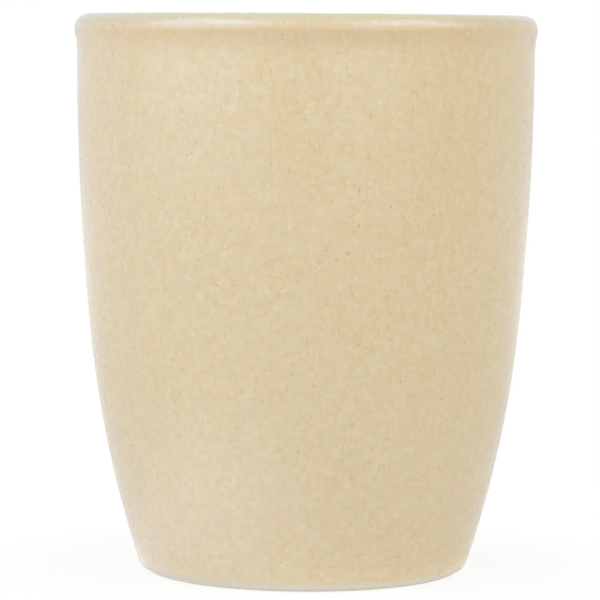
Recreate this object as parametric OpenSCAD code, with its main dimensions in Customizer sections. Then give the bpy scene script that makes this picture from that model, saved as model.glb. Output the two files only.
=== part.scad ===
// Handleless espresso cup: a tapering tumbler pressed in plant-fibre composite, with a rolled lip, a bare
// foot and a clear glaze skin inside and out.
// Millimetres, +Z up, origin at the centre of the base on the standing plane.

/* [Cup] */
// Height from the table to the crest of the lip
cup_height = 65; // [60:0.5:75]
// Outside diameter at the fullest point of the lip
lip_diameter = 53.9; // [50:0.1:60]
// Thickness of the wall, glaze skins included
wall_thickness = 2.3; // [2.1:0.1:2.8]
// Thickness of the floor over the foot recess, glaze skin included
floor_thickness = 2.6; // [2:0.1:4]

/* [Lip] */
// Radius of the outer rounding of the lip
lip_outer_radius = 1.7; // [1.2:0.1:1.9]
// How far the lip stands out from the wall below it
lip_overhang = 0.33; // [0.2:0.01:0.5]
// Radius of the hollow that runs the lip into the wall
under_lip_radius = 8; // [6:0.5:18]

/* [Wall] */
// Radius of the long, nearly straight curve of the upper wall
upper_wall_radius = 330; // [300:5:500]
// Radius of the tighter curve that draws the lower wall in
lower_wall_radius = 130; // [110:1:180]
// Height at which the upper curve passes into the lower one
wall_turn_height = 29; // [26:0.5:36]

/* [Base] */
// Height of the slanted bevel round the foot
foot_bevel_height = 0.8; // [0.6:0.05:1.2]
// Width of that bevel, seen from below
foot_bevel_width = 1.3; // [1.1:0.05:1.8]
// Rounding of the bevel's upper and lower edge
foot_bevel_rounding = 1.2; // [0.8:0.1:1.4]
// Width of the flat ring that the cup stands on
standing_ring_width = 2.6; // [2:0.1:4]
// Depth of the recess inside that ring
foot_recess_depth = 0.8; // [0.4:0.1:1.2]
// Rounding where the inside of the wall meets the floor
floor_corner_radius = 6; // [3:0.5:8]

/* [Glaze] */
// Thickness of each glaze skin
glaze_thickness = 0.2; // [0.1:0.05:0.3]
// Height at which the outer skin stops, leaving the foot bare
glaze_end_height = 1; // [0.5:0.05:1.6]

/* [Hidden] */
$fn = 160;

// Arcs that run into each other overlap by this much, so that they cross instead of only touching
bite = 0.001;
// Longer than any line in the section
reach = 2 * cup_height;

// Lip: an outer and an inner rounding that share the crest
lip_radius = lip_diameter / 2;
crest_radius = lip_radius - lip_outer_radius;
lip_centre = [crest_radius, cup_height - lip_outer_radius];
wall_radius = lip_radius - lip_overhang;
lip_inner_radius = crest_radius - (wall_radius - wall_thickness);
mouth_height = cup_height - lip_inner_radius;

// Hollow under the lip: it touches the lip's rounding above and stands upright where the wall starts
hollow_reach = lip_outer_radius + under_lip_radius;
hollow_turn = acos(1 - lip_overhang / hollow_reach);
hollow_centre = lip_centre + hollow_reach * [cos(hollow_turn), -sin(hollow_turn)];
wall_top = hollow_centre.y;

// Wall: two arcs with a common tangent at the turn, the upper one starting upright
upper_centre = [wall_radius - upper_wall_radius, wall_top];
wall_turn = asin((wall_top - wall_turn_height) / upper_wall_radius);
lower_centre = upper_centre + (upper_wall_radius - lower_wall_radius) * [cos(wall_turn), -sin(wall_turn)];

// Foot bevel: a straight slant from the wall down to the standing plane, rounded where it meets each of them
bevel_slope = atan(foot_bevel_height / foot_bevel_width);
bevel_along = [cos(bevel_slope), sin(bevel_slope)];
bevel_out = [sin(bevel_slope), -cos(bevel_slope)];
bevel_foot = [lower_wall_reach(foot_bevel_height) - foot_bevel_width, 0];
bevel_lower_centre = bevel_foot + foot_bevel_rounding * [-tan(bevel_slope / 2), 1];
bevel_upper_centre = inner_touch(bevel_foot - foot_bevel_rounding * bevel_out, bevel_along,
    lower_wall_radius - foot_bevel_rounding);

// Inside corner: a rounding that stands on the floor and touches the inner face of the wall
floor_height = foot_recess_depth + floor_thickness;
floor_corner_centre = inner_touch([0, floor_height + floor_corner_radius], [1, 0],
    lower_wall_radius - wall_thickness - floor_corner_radius);

// Distance from the axis to the lower wall's outer face at a height
function lower_wall_reach(height) =
    lower_centre.x + sqrt(pow(lower_wall_radius, 2) - pow(height - lower_centre.y, 2));

// Where a line from a point meets a circle about the lower wall's centre
function inner_touch(point, along, radius) =
    let (from = point - lower_centre, ahead = from * along)
    point + (sqrt(pow(ahead, 2) - from * from + pow(radius, 2)) - ahead) * along;

// Point where a rounding about a centre touches the lower wall
function wall_touch(centre, radius) =
    centre + radius * (centre - lower_centre) / norm(centre - lower_centre);

// Everything at and above a height
module above(height) {
    translate([0, height]) square(reach);
}

// A disc about a point of the section
module disc(centre, radius) {
    translate(centre) circle(radius);
}

// The half of a disc that faces away from the axis
module outer_half_disc(centre, radius) {
    intersection() {
        disc(centre, radius);
        translate([centre.x, centre.y - reach]) square(2 * reach);
    }
}

// Half section of the wall's taper at a depth below its outer face, between a level bottom and a level top
module taper(depth, bottom, top) {
    intersection() {
        translate([0, bottom]) square([wall_radius - depth, top - bottom]);
        union() {
            above(wall_top);
            disc(upper_centre, upper_wall_radius - depth + bite);
        }
        union() {
            above(wall_turn_height);
            disc(lower_centre, lower_wall_radius - depth + 2 * bite);
        }
    }
}

// Bound of the outside at a depth below its finished surface, drawn in by the foot bevel
module foot_bound(depth) {
    rounding = foot_bevel_rounding - depth;
    slant = (rounding + 2 * bite) * bevel_out;
    shoulder = wall_touch(bevel_upper_centre, rounding);
    polygon([
        [0, depth],
        [bevel_lower_centre.x, depth],
        bevel_lower_centre + slant,
        bevel_upper_centre + slant,
        shoulder,
        [reach, shoulder.y],
        [reach, reach],
        [0, reach]
    ]);
    disc(bevel_lower_centre, rounding + 3 * bite);
    disc(bevel_upper_centre, rounding + 3 * bite);
}

// Bound of the cavity at a depth below its finished surface, rounded into the floor
module floor_bound(depth) {
    rounding = floor_corner_radius + depth;
    above(wall_touch(floor_corner_centre, rounding).y);
    square([floor_corner_centre.x, reach]);
    disc(floor_corner_centre, rounding + 3 * bite);
}

// Half section of the filled outside at a depth below the finished surface; it stays tall above the lip's
// crest, where the cavity cuts it
module outer_form(depth) {
    intersection() {
        taper(depth, depth, lip_centre.y);
        foot_bound(depth);
    }
    difference() {
        polygon([[0, wall_top], hollow_centre, lip_centre, [0, lip_centre.y]]);
        disc(hollow_centre, under_lip_radius + depth + bite);
    }
    outer_half_disc(lip_centre, lip_outer_radius - depth);
    translate([0, wall_top]) square([crest_radius, cup_height - wall_top + lip_outer_radius]);
}

// Half section of the cavity at a depth below its finished surface, opening over the lip's inner rounding
module cavity_form(depth) {
    intersection() {
        taper(wall_thickness - depth, floor_height - depth, mouth_height);
        floor_bound(depth);
    }
    difference() {
        translate([0, mouth_height]) square([crest_radius, reach]);
        disc([crest_radius, mouth_height], lip_inner_radius - depth);
    }
}

// Half section of the recess in the underside, with a coved edge
module foot_recess() {
    cove_centre = [bevel_lower_centre.x - standing_ring_width - foot_recess_depth, 0];
    translate([0, -foot_recess_depth]) square([cove_centre.x, 2 * foot_recess_depth]);
    outer_half_disc(cove_centre, foot_recess_depth);
}

// Pressed fibre core, under the skins apart from its foot
module cup_body() {
    color("#ded6c4")
        rotate_extrude()
            difference() {
                union() {
                    outer_form(glaze_thickness);
                    difference() {
                        outer_form(0);
                        above(glaze_end_height);
                    }
                }
                cavity_form(glaze_thickness);
                foot_recess();
            }
}

// Clear gloss skin of the inside, from the crest down over the wall and floor
module inner_glaze() {
    color("#efe6d2")
        rotate_extrude()
            difference() {
                cavity_form(glaze_thickness);
                cavity_form(0);
            }
}

// Clear satin skin of the outside, from the crest down to the top of the foot bevel
module outer_glaze() {
    color("#e6d6b6")
        rotate_extrude()
            difference() {
                intersection() {
                    outer_form(0);
                    above(glaze_end_height);
                }
                outer_form(glaze_thickness);
            }
}

cup_body();
inner_glaze();
outer_glaze();
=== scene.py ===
"""Handleless espresso cup of pressed plant fibre: three revolved pieces, finishes, studio and camera."""
import math

import bmesh
import bpy
from mathutils import Euler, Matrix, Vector


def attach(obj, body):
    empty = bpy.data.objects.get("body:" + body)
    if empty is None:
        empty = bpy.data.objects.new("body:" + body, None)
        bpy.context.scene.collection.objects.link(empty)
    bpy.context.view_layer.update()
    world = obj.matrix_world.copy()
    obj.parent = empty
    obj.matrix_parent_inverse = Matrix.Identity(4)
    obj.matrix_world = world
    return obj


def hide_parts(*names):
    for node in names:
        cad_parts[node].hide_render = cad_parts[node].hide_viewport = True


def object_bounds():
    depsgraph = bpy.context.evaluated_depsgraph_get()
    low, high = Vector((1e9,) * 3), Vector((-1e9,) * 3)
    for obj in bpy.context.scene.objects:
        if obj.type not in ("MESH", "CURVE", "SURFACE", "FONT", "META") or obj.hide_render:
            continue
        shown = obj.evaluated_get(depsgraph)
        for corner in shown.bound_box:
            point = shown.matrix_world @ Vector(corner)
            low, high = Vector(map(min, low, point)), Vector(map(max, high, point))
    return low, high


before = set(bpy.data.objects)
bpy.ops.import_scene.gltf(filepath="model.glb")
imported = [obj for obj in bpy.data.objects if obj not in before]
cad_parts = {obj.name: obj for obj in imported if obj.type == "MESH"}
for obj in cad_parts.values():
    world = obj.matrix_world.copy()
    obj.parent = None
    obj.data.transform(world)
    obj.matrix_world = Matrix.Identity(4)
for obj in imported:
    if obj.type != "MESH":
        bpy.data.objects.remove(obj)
cad_low, cad_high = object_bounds()

MM = 0.001

# Driving sizes of the half section, in metres; the height and the lip come from the frame
CUP_HEIGHT = cad_high.z - cad_low.z
LIP_RADIUS = (cad_high.x - cad_low.x) / 2
WALL_THICKNESS = 2.3 * MM
FLOOR_THICKNESS = 2.6 * MM
LIP_OUTER_RADIUS = 1.7 * MM
LIP_OVERHANG = 0.33 * MM
UNDER_LIP_RADIUS = 8 * MM
UPPER_WALL_RADIUS = 330 * MM
LOWER_WALL_RADIUS = 130 * MM
WALL_TURN_HEIGHT = 29 * MM
FOOT_BEVEL_HEIGHT = 0.8 * MM
FOOT_BEVEL_WIDTH = 1.3 * MM
FOOT_BEVEL_ROUNDING = 1.2 * MM
STANDING_RING_WIDTH = 2.6 * MM
FOOT_RECESS_DEPTH = 0.8 * MM
FLOOR_CORNER_RADIUS = 6 * MM
GLAZE_THICKNESS = 0.2 * MM
GLAZE_END_HEIGHT = 1.0 * MM

# Fineness of the meshes: faces round the axis, longest step and widest turn along an arc, the distance under
# which two points are one, and the angle from which an edge is sharp
SEGMENTS = 192
LONGEST_STEP = 1.5 * MM
WIDEST_TURN = math.radians(7.5)
SAME_POINT = 0.0001 * MM
SHARP_ANGLE = math.radians(35)

# Lip: an outer and an inner rounding that share the crest
CREST_RADIUS = LIP_RADIUS - LIP_OUTER_RADIUS
LIP_CENTRE = Vector((CREST_RADIUS, CUP_HEIGHT - LIP_OUTER_RADIUS))
WALL_RADIUS = LIP_RADIUS - LIP_OVERHANG
LIP_INNER_RADIUS = CREST_RADIUS - (WALL_RADIUS - WALL_THICKNESS)
MOUTH_CENTRE = Vector((CREST_RADIUS, CUP_HEIGHT - LIP_INNER_RADIUS))

# Hollow under the lip: it touches the lip's rounding above and stands upright where the wall starts
HOLLOW_REACH = LIP_OUTER_RADIUS + UNDER_LIP_RADIUS
HOLLOW_TURN = math.acos(1 - LIP_OVERHANG / HOLLOW_REACH)
HOLLOW_CENTRE = LIP_CENTRE + HOLLOW_REACH * Vector((math.cos(HOLLOW_TURN), -math.sin(HOLLOW_TURN)))
WALL_TOP = HOLLOW_CENTRE.y

# Wall: two arcs with a common tangent at the turn, the upper one starting upright
UPPER_CENTRE = Vector((WALL_RADIUS - UPPER_WALL_RADIUS, WALL_TOP))
WALL_TURN = math.asin((WALL_TOP - WALL_TURN_HEIGHT) / UPPER_WALL_RADIUS)
LOWER_CENTRE = UPPER_CENTRE + (UPPER_WALL_RADIUS - LOWER_WALL_RADIUS) * Vector(
    (math.cos(WALL_TURN), -math.sin(WALL_TURN)))


def wall_meeting(point, along, radius):
    """Where a line from a point meets a circle about the lower wall's centre."""
    start = point - LOWER_CENTRE
    ahead = start.dot(along)
    return point + (math.sqrt(ahead ** 2 - start.length_squared + radius ** 2) - ahead) * along


def wall_angle(centre):
    """Direction from the lower wall's centre in which a rounding about a centre touches the wall."""
    away = centre - LOWER_CENTRE
    return math.atan2(away.y, away.x)


# Foot bevel: a straight slant from the wall down to the standing plane, rounded where it meets each of them
LEVEL = Vector((1, 0))
BEVEL_SLOPE = math.atan2(FOOT_BEVEL_HEIGHT, FOOT_BEVEL_WIDTH)
BEVEL_TURN = BEVEL_SLOPE - math.pi / 2
BEVEL_ALONG = Vector((math.cos(BEVEL_SLOPE), math.sin(BEVEL_SLOPE)))
BEVEL_OUT = Vector((math.cos(BEVEL_TURN), math.sin(BEVEL_TURN)))
BEVEL_TOP = wall_meeting(Vector((0, FOOT_BEVEL_HEIGHT)), LEVEL, LOWER_WALL_RADIUS)
BEVEL_FOOT = Vector((BEVEL_TOP.x - FOOT_BEVEL_WIDTH, 0))
BEVEL_LOWER_CENTRE = BEVEL_FOOT + FOOT_BEVEL_ROUNDING * Vector((-math.tan(BEVEL_SLOPE / 2), 1))
BEVEL_UPPER_CENTRE = wall_meeting(
    BEVEL_FOOT - FOOT_BEVEL_ROUNDING * BEVEL_OUT, BEVEL_ALONG, LOWER_WALL_RADIUS - FOOT_BEVEL_ROUNDING)
SHOULDER_TURN = wall_angle(BEVEL_UPPER_CENTRE)
FOOT_RECESS_RADIUS = BEVEL_LOWER_CENTRE.x - STANDING_RING_WIDTH

# Inside corner: a rounding that stands on the floor and touches the inner face of the wall
FLOOR_HEIGHT = FOOT_RECESS_DEPTH + FLOOR_THICKNESS
FLOOR_CORNER_CENTRE = wall_meeting(
    Vector((0, FLOOR_HEIGHT + FLOOR_CORNER_RADIUS)), LEVEL,
    LOWER_WALL_RADIUS - WALL_THICKNESS - FLOOR_CORNER_RADIUS)
FLOOR_TURN = wall_angle(FLOOR_CORNER_CENTRE)


def arc(centre, radius, start, end):
    """Points (radius from the axis, height) along an arc, close enough together to look round."""
    turn = abs(end - start)
    count = max(2, math.ceil(turn / WIDEST_TURN), math.ceil(turn * radius / LONGEST_STEP))
    angles = [start + (end - start) * i / count for i in range(count + 1)]
    return [centre + radius * Vector((math.cos(a), math.sin(a))) for a in angles]


def line(start, end):
    """Points along a straight run, evenly spaced."""
    start, end = Vector(start), Vector(end)
    count = max(1, math.ceil((end - start).length / (2 * LONGEST_STEP)))
    return [start.lerp(end, i / count) for i in range(count + 1)]


def glaze_end_turn(depth):
    """How far round the bevel's upper rounding, at a depth below its surface, the glaze stops."""
    return -math.asin((BEVEL_UPPER_CENTRE.y - GLAZE_END_HEIGHT) / (FOOT_BEVEL_ROUNDING - depth))


def outside(depth):
    """The outer face at a depth below its surface, from the lip's crest to the end of the glaze."""
    return (
        arc(LIP_CENTRE, LIP_OUTER_RADIUS - depth, math.pi / 2, -HOLLOW_TURN)
        + arc(HOLLOW_CENTRE, UNDER_LIP_RADIUS + depth, math.pi - HOLLOW_TURN, math.pi)
        + arc(UPPER_CENTRE, UPPER_WALL_RADIUS - depth, 0, -WALL_TURN)
        + arc(LOWER_CENTRE, LOWER_WALL_RADIUS - depth, -WALL_TURN, SHOULDER_TURN)
        + arc(BEVEL_UPPER_CENTRE, FOOT_BEVEL_ROUNDING - depth, SHOULDER_TURN, glaze_end_turn(depth))
    )


def inside(depth):
    """The inner face at a depth below its surface, from the lip's crest to the middle of the floor."""
    inner_radius = WALL_RADIUS - WALL_THICKNESS + depth
    floor_height = FLOOR_HEIGHT - depth
    return (
        arc(MOUTH_CENTRE, LIP_INNER_RADIUS - depth, math.pi / 2, math.pi)
        + line((inner_radius, MOUTH_CENTRE.y), (inner_radius, WALL_TOP))
        + arc(UPPER_CENTRE, UPPER_WALL_RADIUS - WALL_THICKNESS + depth, 0, -WALL_TURN)
        + arc(LOWER_CENTRE, LOWER_WALL_RADIUS - WALL_THICKNESS + depth, -WALL_TURN, FLOOR_TURN)
        + arc(FLOOR_CORNER_CENTRE, FLOOR_CORNER_RADIUS + depth, FLOOR_TURN, -math.pi / 2)
        + line((FLOOR_CORNER_CENTRE.x, floor_height), (0, floor_height))
    )


def underside():
    """The bare core below the glaze, from the middle of the recess to the end of the glaze over the bevel."""
    cove_centre = Vector((FOOT_RECESS_RADIUS - FOOT_RECESS_DEPTH, 0))
    return (
        line((0, FOOT_RECESS_DEPTH), (cove_centre.x, FOOT_RECESS_DEPTH))
        + arc(cove_centre, FOOT_RECESS_DEPTH, math.pi / 2, 0)
        + line((FOOT_RECESS_RADIUS, 0), (BEVEL_LOWER_CENTRE.x, 0))
        + arc(BEVEL_LOWER_CENTRE, FOOT_BEVEL_ROUNDING, -math.pi / 2, BEVEL_TURN)
        + arc(BEVEL_UPPER_CENTRE, FOOT_BEVEL_ROUNDING, BEVEL_TURN, glaze_end_turn(0))
    )


def revolve(name, path, closed):
    """A mesh object turned about Z from a path of section points; a path's end on the axis becomes a pole."""
    points = [p for i, p in enumerate(path) if i == 0 or (p - path[i - 1]).length > SAME_POINT]
    angles = [2 * math.pi * i / SEGMENTS for i in range(SEGMENTS)]
    compass = [(math.cos(a), math.sin(a)) for a in angles]
    mesh = bpy.data.meshes.new(name)
    made = bmesh.new()
    rings = []
    for point in points:
        if point.x < SAME_POINT:
            rings.append([made.verts.new((0, 0, point.y))] * SEGMENTS)
        else:
            rings.append([made.verts.new((point.x * x, point.x * y, point.y)) for x, y in compass])
    pairs = list(zip(rings, rings[1:]))
    if closed:
        pairs.append((rings[-1], rings[0]))
    for lower, upper in pairs:
        for i in range(SEGMENTS):
            j = (i + 1) % SEGMENTS
            corners = dict.fromkeys((lower[i], lower[j], upper[j], upper[i]))
            made.faces.new(corners.keys())
    bmesh.ops.recalc_face_normals(made, faces=made.faces)
    made.to_mesh(mesh)
    made.free()
    mesh.shade_smooth()
    mesh.set_sharp_from_angle(angle=SHARP_ANGLE)
    piece = bpy.data.objects.new(name, mesh)
    bpy.context.scene.collection.objects.link(piece)
    return piece


class Nodes:
    """Short calls for adding shader nodes to a tree and joining them."""

    def __init__(self, tree):
        self.tree = tree
        tree.nodes.clear()

    def add(self, kind, inputs=(), **settings):
        """A node with its settings, and its inputs given as plain values or as sockets to link."""
        node = self.tree.nodes.new(kind)
        for key, value in settings.items():
            setattr(node, key, value)
        for key, value in dict(inputs).items():
            if isinstance(value, bpy.types.NodeSocket):
                self.tree.links.new(value, node.inputs[key])
            else:
                node.inputs[key].default_value = value
        return node

    def shader(self, kind, inputs):
        """The first output of a shader node."""
        return self.add(kind, inputs).outputs[0]

    def maths(self, operation, first, second):
        """One arithmetic step on two values."""
        return self.add("ShaderNodeMath", {0: first, 1: second}, operation=operation).outputs[0]

    def vector(self, operation, first, second, result="Vector"):
        """One arithmetic step on two vectors."""
        return self.add("ShaderNodeVectorMath", {0: first, 1: second}, operation=operation).outputs[result]

    def axis(self, vector, name):
        """One coordinate of a vector."""
        return self.add("ShaderNodeSeparateXYZ", {"Vector": vector}).outputs[name]

    def ramp(self, value, start, end, low=0.0, high=1.0):
        """A value eased from low to high as it passes from start to end."""
        limits = {"Value": value, "From Min": start, "From Max": end, "To Min": low, "To Max": high}
        return self.add("ShaderNodeMapRange", limits, interpolation_type="SMOOTHSTEP").outputs["Result"]

    def noise(self, vector, size, detail=2.0):
        """Cloudy noise whose features are about a size across."""
        inputs = {"Vector": vector, "Scale": 1 / size, "Detail": detail}
        return self.add("ShaderNodeTexNoise", inputs).outputs

    def scatter(self, vector, spacing, share):
        """Scattered points: the distance to the nearest, whether it is one of the share that holds a fleck,
        and a random number of its own."""
        cells = self.add("ShaderNodeTexVoronoi", {"Vector": vector, "Scale": 1 / spacing}).outputs
        chance = self.add("ShaderNodeSeparateColor", {"Color": cells["Color"]}).outputs
        return cells["Distance"], self.maths("LESS_THAN", chance["Red"], share), chance["Green"]

    def blend(self, share, first, second):
        """Two colours blended by a share."""
        inputs = {"Factor": share, 6: first, 7: second}
        return self.add("ShaderNodeMix", inputs, data_type="RGBA").outputs[2]


def linear(red, green, blue):
    """A linear colour from screen values of 0 to 255."""
    parts = [v / 255 for v in (red, green, blue)]
    return (*[v / 12.92 if v <= 0.04045 else ((v + 0.055) / 1.055) ** 2.4 for v in parts], 1.0)


# Tones of the composite: pale and straw grain, two pairs of opposite casts, then fibres and specks
CREAM = linear(241, 219, 177)
STRAW = linear(236, 209, 152)
ROSE = linear(243, 210, 167)
OLIVE = linear(234, 219, 164)
GOLD = linear(243, 217, 163)
ASH = linear(234, 212, 168)
OCHRE = linear(235, 199, 126)
TAN = linear(225, 187, 123)
UMBER = linear(210, 174, 104)
WHITISH = linear(250, 236, 204)

# The dust of the rubbed foot, the painted shade under the lip and over the crest, and the tint of straight
# reflections
RUBBED = linear(231, 225, 211)
SHADE_UNDER_LIP = linear(237, 200, 148)
SHADE_OVER_CREST = linear(216, 200, 161)
SHEEN = (0.8, 1.25, 2.2, 1.0)

# Painted shade in two bands: darker and warmer under the lip, darker and cooler over the crest; the heights
# between which each comes in and goes out, and its share of the colour
PAINTED_SHADE_BANDS = (
    {"comes": (60.7 * MM, 62.7 * MM), "goes": (63.0 * MM, 64.0 * MM), "tone": SHADE_UNDER_LIP, "share": 0.38},
    {"comes": (63.0 * MM, 64.4 * MM), "goes": (66.0 * MM, 67.0 * MM), "tone": SHADE_OVER_CREST, "share": 0.6},
)

# Grain: its size, and the part of the noise's range over which it turns from straw to cream
GRAIN_SIZE = 0.8 * MM
NOISE_SPAN = (0.3, 0.7)

# Casts: size of the clouds, the two tones that they lean to, and a shift that sets the patterns apart
CASTS = (
    {"size": 1.0 * MM, "tones": (ROSE, OLIVE), "shift": 0.019},
    {"size": 0.8 * MM, "tones": (GOLD, ASH), "shift": 0.031},
)
CAST_SHARE = 0.7
CAST_START = 0.5
CAST_ENDS = (0.75, 0.25)

# Stray: how fibres and specks are bent out of their round or straight shape
STRAY_SIZE = 0.4 * MM
STRAY_REACH = 0.3 * MM
STRAY_SHIFT = 0.029

# Fibres: spacing in metres, length in widths, the way they lie, colour, and a shift as above
FIBRES = (
    {"spacing": 0.55 * MM, "length": 6.0, "turn": (0.4, 0.9, 0.2), "colour": OCHRE, "shift": 0.067},
    {"spacing": 0.55 * MM, "length": 6.0, "turn": (1.3, 0.3, 1.1), "colour": OCHRE, "shift": 0.071},
    {"spacing": 0.55 * MM, "length": 6.0, "turn": (2.2, 1.4, 2.0), "colour": TAN, "shift": 0.083},
)
FIBRE_RADIUS = 0.12 * MM
FIBRE_CORE = 0.5
FIBRE_SHARE = 0.3
FIBRE_STRENGTH = 0.5

# Specks: colour and its strength, share of the points that hold one, spacing and largest radius in metres,
# and a shift as above
SPECKS = (
    {"colour": OCHRE, "strength": 0.50, "share": 0.42,
     "spacing": 0.90 * MM, "radius": 0.28 * MM, "shift": 0.011},
    {"colour": TAN, "strength": 0.55, "share": 0.32,
     "spacing": 0.60 * MM, "radius": 0.18 * MM, "shift": 0.023},
    {"colour": WHITISH, "strength": 0.25, "share": 0.38,
     "spacing": 0.80 * MM, "radius": 0.36 * MM, "shift": 0.041},
    {"colour": UMBER, "strength": 0.60, "share": 0.25,
     "spacing": 1.20 * MM, "radius": 0.20 * MM, "shift": 0.053},
)
SMALLEST_SPECK = 0.6
SPECK_CORE = 0.6

ROUGHNESS_SPREAD = 0.02
BUMP_DETAIL = 3.0


def shifted(nodes, place, shift):
    """Coordinates moved by the same shift along each axis."""
    return nodes.vector("ADD", place, (shift,) * 3)


def clouded(nodes, place):
    """Grain of straw and cream under clouds of the casts."""
    grain = nodes.noise(place, GRAIN_SIZE)["Fac"]
    colour = nodes.blend(nodes.ramp(grain, *NOISE_SPAN), STRAW, CREAM)
    for cast in CASTS:
        cloud = nodes.noise(shifted(nodes, place, cast["shift"]), cast["size"])["Fac"]
        for tone, end in zip(cast["tones"], CAST_ENDS):
            colour = nodes.blend(nodes.ramp(cloud, CAST_START, end, 0, CAST_SHARE), colour, tone)
    return colour


def strayed(nodes, place):
    """Coordinates bent a little by noise."""
    stray = nodes.noise(shifted(nodes, place, STRAY_SHIFT), STRAY_SIZE)["Color"]
    centred = nodes.vector("SUBTRACT", stray, (0.5,) * 3)
    return nodes.vector("ADD", place, nodes.vector("MULTIPLY", centred, (STRAY_REACH,) * 3))


def composite(nodes, place):
    """Colour of the pressed fibre composite over the object's own coordinates: grain, fibres and specks."""
    colour = clouded(nodes, place)
    bent = strayed(nodes, place)
    for fibre in FIBRES:
        turned = nodes.add("ShaderNodeMapping", {
            "Vector": bent,
            "Location": (fibre["shift"],) * 3,
            "Rotation": Euler(fibre["turn"]),
            "Scale": (1, 1, 1 / fibre["length"]),
        }).outputs["Vector"]
        distance, held, _ = nodes.scatter(turned, fibre["spacing"], FIBRE_SHARE)
        radius = FIBRE_RADIUS / fibre["spacing"]
        shape = nodes.ramp(distance, radius, radius * FIBRE_CORE, 0, FIBRE_STRENGTH)
        colour = nodes.blend(nodes.maths("MULTIPLY", shape, held), colour, fibre["colour"])
    for speck in SPECKS:
        moved = shifted(nodes, bent, speck["shift"])
        distance, held, size = nodes.scatter(moved, speck["spacing"], speck["share"])
        largest = speck["radius"] / speck["spacing"]
        radius = nodes.ramp(size, 0, 1, largest * SMALLEST_SPECK, largest)
        core = nodes.maths("MULTIPLY", radius, SPECK_CORE)
        shape = nodes.ramp(distance, radius, core, 0, speck["strength"])
        colour = nodes.blend(nodes.maths("MULTIPLY", shape, held), colour, speck["colour"])
    return colour


def painted_lip_shade(nodes, place, colour):
    """A colour with painted shade laid over it in two bands, under the lip and over the crest."""
    height = nodes.axis(place, "Z")
    for shade_band in PAINTED_SHADE_BANDS:
        start = nodes.ramp(height, *shade_band["comes"])
        share = nodes.maths("MULTIPLY", start, nodes.ramp(height, *shade_band["goes"], shade_band["share"], 0))
        colour = nodes.blend(share, colour, shade_band["tone"])
    return colour


def finish(name, roughness, specular, bump_depth, bump_size, rubbed=0.0):
    """The composite under a finish: its roughness and gloss, and the unevenness of its surface, with painted
    shade in bands under the lip and over the crest. Where it is rubbed down, a share of pale dust takes the
    place of that shade."""
    material = bpy.data.materials.new(name)
    material.use_nodes = True
    nodes = Nodes(material.node_tree)
    place = nodes.add("ShaderNodeTexCoord").outputs["Object"]
    uneven = nodes.noise(place, bump_size, BUMP_DETAIL)["Fac"]
    bump = nodes.add("ShaderNodeBump", {"Height": uneven, "Strength": 1.0, "Distance": bump_depth})
    colour = composite(nodes, place)
    if rubbed:
        colour = nodes.blend(rubbed, colour, RUBBED)
    else:
        # Painted shade: darker bands under the lip and over the crest
        colour = painted_lip_shade(nodes, place, colour)
    limits = roughness - ROUGHNESS_SPREAD, roughness + ROUGHNESS_SPREAD
    surface = nodes.shader("ShaderNodeBsdfPrincipled", {
        "Base Color": colour,
        "Roughness": nodes.ramp(uneven, *NOISE_SPAN, *limits),
        "Specular IOR Level": specular,
        "Specular Tint": SHEEN,
        "Normal": bump.outputs["Normal"],
    })
    nodes.add("ShaderNodeOutputMaterial", {"Surface": surface})
    return material


def dress(piece, node, material):
    """Makes a piece stand for a node of the frame, in the finish of a slot."""
    piece.data.materials.append(material)
    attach(piece, "root")
    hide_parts(node)


outer_face, outer_bed = outside(0), outside(GLAZE_THICKNESS)
inner_face, inner_bed = inside(0), inside(GLAZE_THICKNESS)
ledge = line(outer_face[-1], outer_bed[-1])
core = revolve("pressed_core", underside() + ledge + outer_bed[::-1] + inner_bed, closed=False)
skin = revolve("satin_skin", outer_face + outer_bed[::-1], closed=True)
lining = revolve("gloss_lining", inner_face[::-1] + inner_bed, closed=False)

bare_fibre = finish("bare_fibre", roughness=0.6, specular=0.4,
                    bump_depth=0.02 * MM, bump_size=0.25 * MM, rubbed=0.8)
satin_clear = finish("satin_clear", roughness=0.26, specular=0.5, bump_depth=0.003 * MM, bump_size=2.5 * MM)
gloss_clear = finish("gloss_clear", roughness=0.08, specular=0.5, bump_depth=0.006 * MM, bump_size=2.0 * MM)

dress(core, "cup_body", bare_fibre)
dress(skin, "outer_glaze", satin_clear)
dress(lining, "inner_glaze", gloss_clear)

WHITE = (1.0, 1.0, 1.0, 1.0)

# Sky: cool, and a little warmer towards the right; the part of the way to the right over which it turns, and
# its level as a light
SKY_LEFT = (0.9, 1.0, 1.15, 1.0)
SKY_RIGHT = (0.9, 0.98, 1.02, 1.0)
SKY_TURN = (0.2, 0.9)
SKY_LEVEL = 0.28

# Floor: its width and tone
FLOOR_SIZE = 6.0
FLOOR_TONE = (0.76, 0.76, 0.76, 1.0)

# Shine of the floor in reflections: from front to back, in a halo round the cup, and in a pool on its left
SHINE_TONE = (0.92, 1.0, 1.12, 1.0)
SHINE_FRONT, SHINE_BACK = 0.03, 0.66
SHINE_START, SHINE_END = -220 * MM, 400 * MM
HALO_SHINE = 0.29
HALO_NEAR, HALO_FAR = 30 * MM, 130 * MM
POOL_SHINE = 0.8
POOL_CENTRE = (-30 * MM, -27 * MM, 0)
POOL_RADIUS = 48 * MM

# Glow of the floor close to the foot, which lights the bevel from below
GLOW = 0.24
GLOW_CENTRE = (1.1 * MM, -0.2 * MM, 0)
GLOW_NEAR, GLOW_FAR = 18 * MM, 22.3 * MM

# The cup's shadow: how much of it the camera sees near the cup, and where it fades into white
SHADOW_SHARE = 0.14
SHADOW_NEAR, SHADOW_FAR = 20 * MM, 45 * MM

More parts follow.
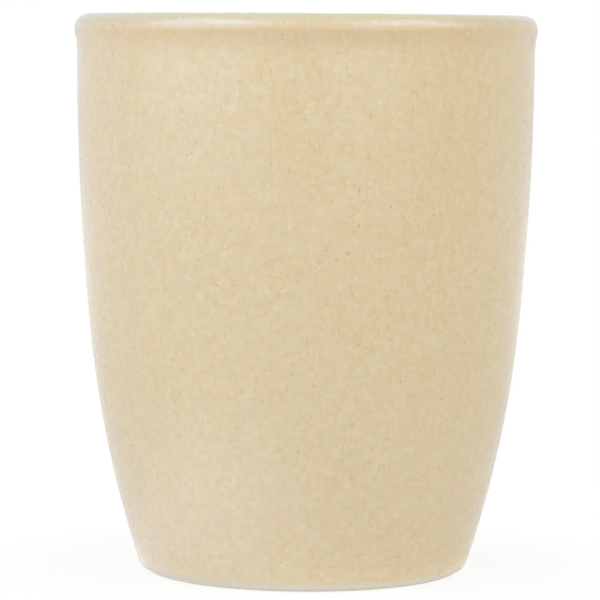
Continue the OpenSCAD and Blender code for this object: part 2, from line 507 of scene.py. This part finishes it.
# Lamps: where each stands, in degrees from the camera's side, positive to its right, and above the table;
# width and height in metres; radiance, tint, and whether reflections show the lamp
LAMP_DISTANCE = 0.65
COOL = (0.97, 1.0, 1.07)
WARM = (1.03, 1.0, 0.9)
WARM_FILL = (1.1, 0.95, 0.72)
LAMPS = (
    {"name": "left_box", "stands": (-72, 42), "size": (0.3, 0.5), "radiance": 2.2, "tint": COOL},
    {"name": "left_high", "stands": (-40, 40), "size": (0.25, 0.3), "radiance": 3.5, "tint": COOL},
    {"name": "left_panel", "stands": (-55, 10), "size": (0.8, 0.28), "radiance": 0.95, "tint": COOL},
    {"name": "right_box", "stands": (72, 42), "size": (0.3, 0.5), "radiance": 2.45, "tint": WARM},
    {"name": "right_high", "stands": (40, 40), "size": (0.25, 0.3), "radiance": 2.8, "tint": WARM},
    {"name": "right_panel", "stands": (30, 10), "size": (0.55, 0.28), "radiance": 0.68, "tint": WARM},
    {"name": "back_fill", "stands": (180, 12), "size": (0.8, 0.4), "radiance": 0.8, "tint": WARM_FILL,
     "reflected": False},
)


def seen_ray(nodes, *kinds):
    """One where a ray is of any of these kinds, else zero."""
    light_path = nodes.add("ShaderNodeLightPath").outputs
    total = light_path[kinds[0]]
    for kind in kinds[1:]:
        total = nodes.maths("MAXIMUM", total, light_path[kind])
    return total


def mixed(nodes, share, first, second):
    """Two shaders mixed by a share."""
    return nodes.shader("ShaderNodeMixShader", {0: share, 1: first, 2: second})


def emission(nodes, colour, strength):
    """An even light from a surface."""
    return nodes.shader("ShaderNodeEmission", {"Color": colour, "Strength": strength})


def white_world():
    """White where the camera looks past the floor, and a sky that is soft but bright in reflections."""
    world = bpy.data.worlds.new("studio")
    bpy.context.scene.world = world
    world.use_nodes = True
    nodes = Nodes(world.node_tree)
    level = nodes.ramp(seen_ray(nodes, "Is Glossy Ray", "Is Transmission Ray"), 0, 1, SKY_LEVEL, 1)
    side = nodes.axis(nodes.add("ShaderNodeTexCoord").outputs["Generated"], "X")
    tone = nodes.blend(nodes.ramp(side, *SKY_TURN), SKY_LEFT, SKY_RIGHT)
    sky = nodes.shader("ShaderNodeBackground", {"Color": tone, "Strength": level})
    white = nodes.shader("ShaderNodeBackground", {"Color": WHITE, "Strength": 1.0})
    surface = mixed(nodes, seen_ray(nodes, "Is Camera Ray"), sky, white)
    nodes.add("ShaderNodeOutputWorld", {"Surface": surface})


def floor_shine(nodes, place, away):
    """The floor's extra light in reflections."""
    back = nodes.ramp(nodes.axis(place, "Y"), SHINE_START, SHINE_END, SHINE_FRONT, SHINE_BACK)
    halo = nodes.ramp(away, HALO_NEAR, HALO_FAR, HALO_SHINE, 0)
    from_pool = nodes.vector("DISTANCE", place, POOL_CENTRE, "Value")
    pool = nodes.ramp(from_pool, 0, POOL_RADIUS, POOL_SHINE, 0)
    level = nodes.maths("ADD", back, nodes.maths("ADD", halo, pool))
    return emission(nodes, SHINE_TONE, level)


def white_floor():
    """A broad pale floor, white to the camera away from the cup's soft shadow and brighter in reflections."""
    bpy.ops.mesh.primitive_plane_add(size=FLOOR_SIZE)
    floor = bpy.context.object
    floor.name = "floor"
    material = bpy.data.materials.new("white_floor")
    material.use_nodes = True
    nodes = Nodes(material.node_tree)
    place = nodes.add("ShaderNodeTexCoord").outputs["Object"]
    away = nodes.vector("DISTANCE", place, (0, 0, 0), "Value")
    from_glow = nodes.vector("DISTANCE", place, GLOW_CENTRE, "Value")
    glow = emission(nodes, WHITE, nodes.ramp(from_glow, GLOW_NEAR, GLOW_FAR, GLOW, 0))
    tone = nodes.shader("ShaderNodeBsdfDiffuse", {"Color": FLOOR_TONE})
    lit = nodes.shader("ShaderNodeAddShader", {0: tone, 1: glow})
    bright = nodes.shader("ShaderNodeAddShader", {0: lit, 1: floor_shine(nodes, place, away)})
    table = mixed(nodes, seen_ray(nodes, "Is Glossy Ray", "Is Transmission Ray"), lit, bright)
    paper = nodes.shader("ShaderNodeBsdfDiffuse", {"Color": WHITE})
    cleared = nodes.ramp(away, SHADOW_NEAR, SHADOW_FAR, 1 - SHADOW_SHARE, 1.0)
    shown = mixed(nodes, cleared, paper, emission(nodes, WHITE, 1.0))
    surface = mixed(nodes, seen_ray(nodes, "Is Camera Ray"), table, shown)
    nodes.add("ShaderNodeOutputMaterial", {"Surface": surface})
    floor.data.materials.append(material)


def softbox(name, stands, size, radiance, tint, reflected=True):
    """A rectangular lamp aimed at the middle of the cup."""
    width, height = size
    turn, rise = (math.radians(a) for a in stands)
    lamp = bpy.data.lights.new(name, "AREA")
    lamp.shape = "RECTANGLE"
    lamp.size = width
    lamp.size_y = height
    lamp.energy = radiance * math.pi * width * height
    lamp.color = tint
    box = bpy.data.objects.new(name, lamp)
    bpy.context.scene.collection.objects.link(box)
    away = Vector((math.sin(turn) * math.cos(rise), -math.cos(turn) * math.cos(rise), math.sin(rise)))
    box.location = Vector((0, 0, CUP_HEIGHT / 2)) + LAMP_DISTANCE * away
    box.rotation_euler = away.to_track_quat("Z", "Y").to_euler()
    box.visible_glossy = reflected


white_world()
white_floor()
for lamp_row in LAMPS:
    softbox(**lamp_row)

# Camera, as the photograph was taken: distance from the cup's axis, height, turn about the line of sight, the
# point of the axis plane that lands in the middle of the picture, and sensor and lens in millimetres
CAMERA_DISTANCE = 413.3 * MM
CAMERA_HEIGHT = 61.9 * MM
CAMERA_ROLL = math.radians(0.37)
AIM = Vector((-0.52 * MM, 0, 31.7 * MM))
SENSOR_WIDTH = 36.0
LENS = 212.3


def photo_camera():
    """A long lens a little below the height of the lip."""
    data = bpy.data.cameras.new("camera")
    data.sensor_width = SENSOR_WIDTH
    data.lens = LENS
    camera = bpy.data.objects.new("camera", data)
    bpy.context.scene.collection.objects.link(camera)
    camera.location = (0, -CAMERA_DISTANCE, CAMERA_HEIGHT)
    look = (AIM - camera.location).to_track_quat("-Z", "Y").to_matrix()
    camera.rotation_euler = (look @ Euler((0, 0, CAMERA_ROLL)).to_matrix()).to_euler()
    bpy.context.scene.camera = camera


photo_camera()
bpy.context.scene.view_settings.view_transform = "Standard"
